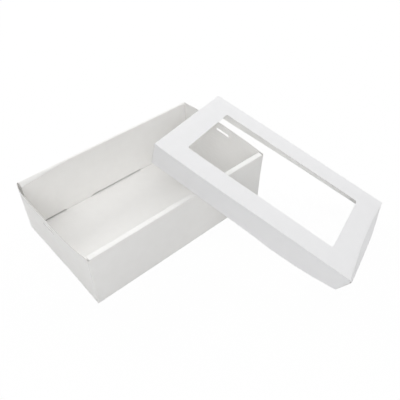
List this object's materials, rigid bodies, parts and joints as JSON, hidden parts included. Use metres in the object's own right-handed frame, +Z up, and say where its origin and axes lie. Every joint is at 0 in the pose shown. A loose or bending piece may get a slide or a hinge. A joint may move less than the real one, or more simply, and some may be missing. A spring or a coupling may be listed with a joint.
{
  "type": "favor box",
  "caption": "White paperboard favour box: a deep tray with hollow long walls and a shallow lid with a clear window, lifted off and leaning across the tray's corner.",
  "frame": {"origin": "middle of the tray's underside, on the surface that the box stands on", "axes": "+X along the tray to its right end, +Y to its far long wall, +Z up"},
  "size_m": [0.277, 0.2601, 0.0952],
  "materials": {
    "tray_board": "smooth matt white paperboard, about 0.4 mm, slightly warm",
    "lid_board": "smooth matt white paperboard, about 0.4 mm",
    "clear_film": "thin clear film, glued behind the window"
  },
  "bodies": {
    "tray": {"tray_floor": "tray_board", "near_outer_wall": "tray_board", "near_rim": "tray_board", "near_inner_wall": "tray_board", "far_outer_wall": "tray_board", "far_rim": "tray_board", "far_inner_wall": "tray_board"},
    "left_end": {"left_end_wall": "tray_board", "left_near_flap": "tray_board", "left_far_flap": "tray_board"},
    "right_end": {"right_end_wall": "tray_board", "right_near_flap": "tray_board", "right_far_flap": "tray_board"},
    "lid": {"lid_panel": "lid_board", "lid_near_skirt": "lid_board", "lid_far_skirt": "lid_board", "lid_upper_skirt": "lid_board", "lid_lower_skirt": "lid_board", "lid_upper_near_flap": "lid_board", "lid_upper_far_flap": "lid_board", "lid_lower_near_flap": "lid_board", "lid_lower_far_flap": "lid_board", "window_film": "clear_film"}
  },
  "joints": [
    {"name": "lid_lift", "type": "slide", "parent": "tray", "child": "lid", "axis": [0, 0, 1], "range_m": [0, 0.1]},
    {"name": "left_end_lean", "type": "hinge", "parent": "tray", "child": "left_end", "pos_m": [-0.0998, 0, 0.0002], "axis": [0, 1, 0], "range_deg": [-6, 0.5]},
    {"name": "right_end_lean", "type": "hinge", "parent": "tray", "child": "right_end", "pos_m": [0.0998, 0, 0.0002], "axis": [0, 1, 0], "range_deg": [-1.5, 1]}
  ]
}
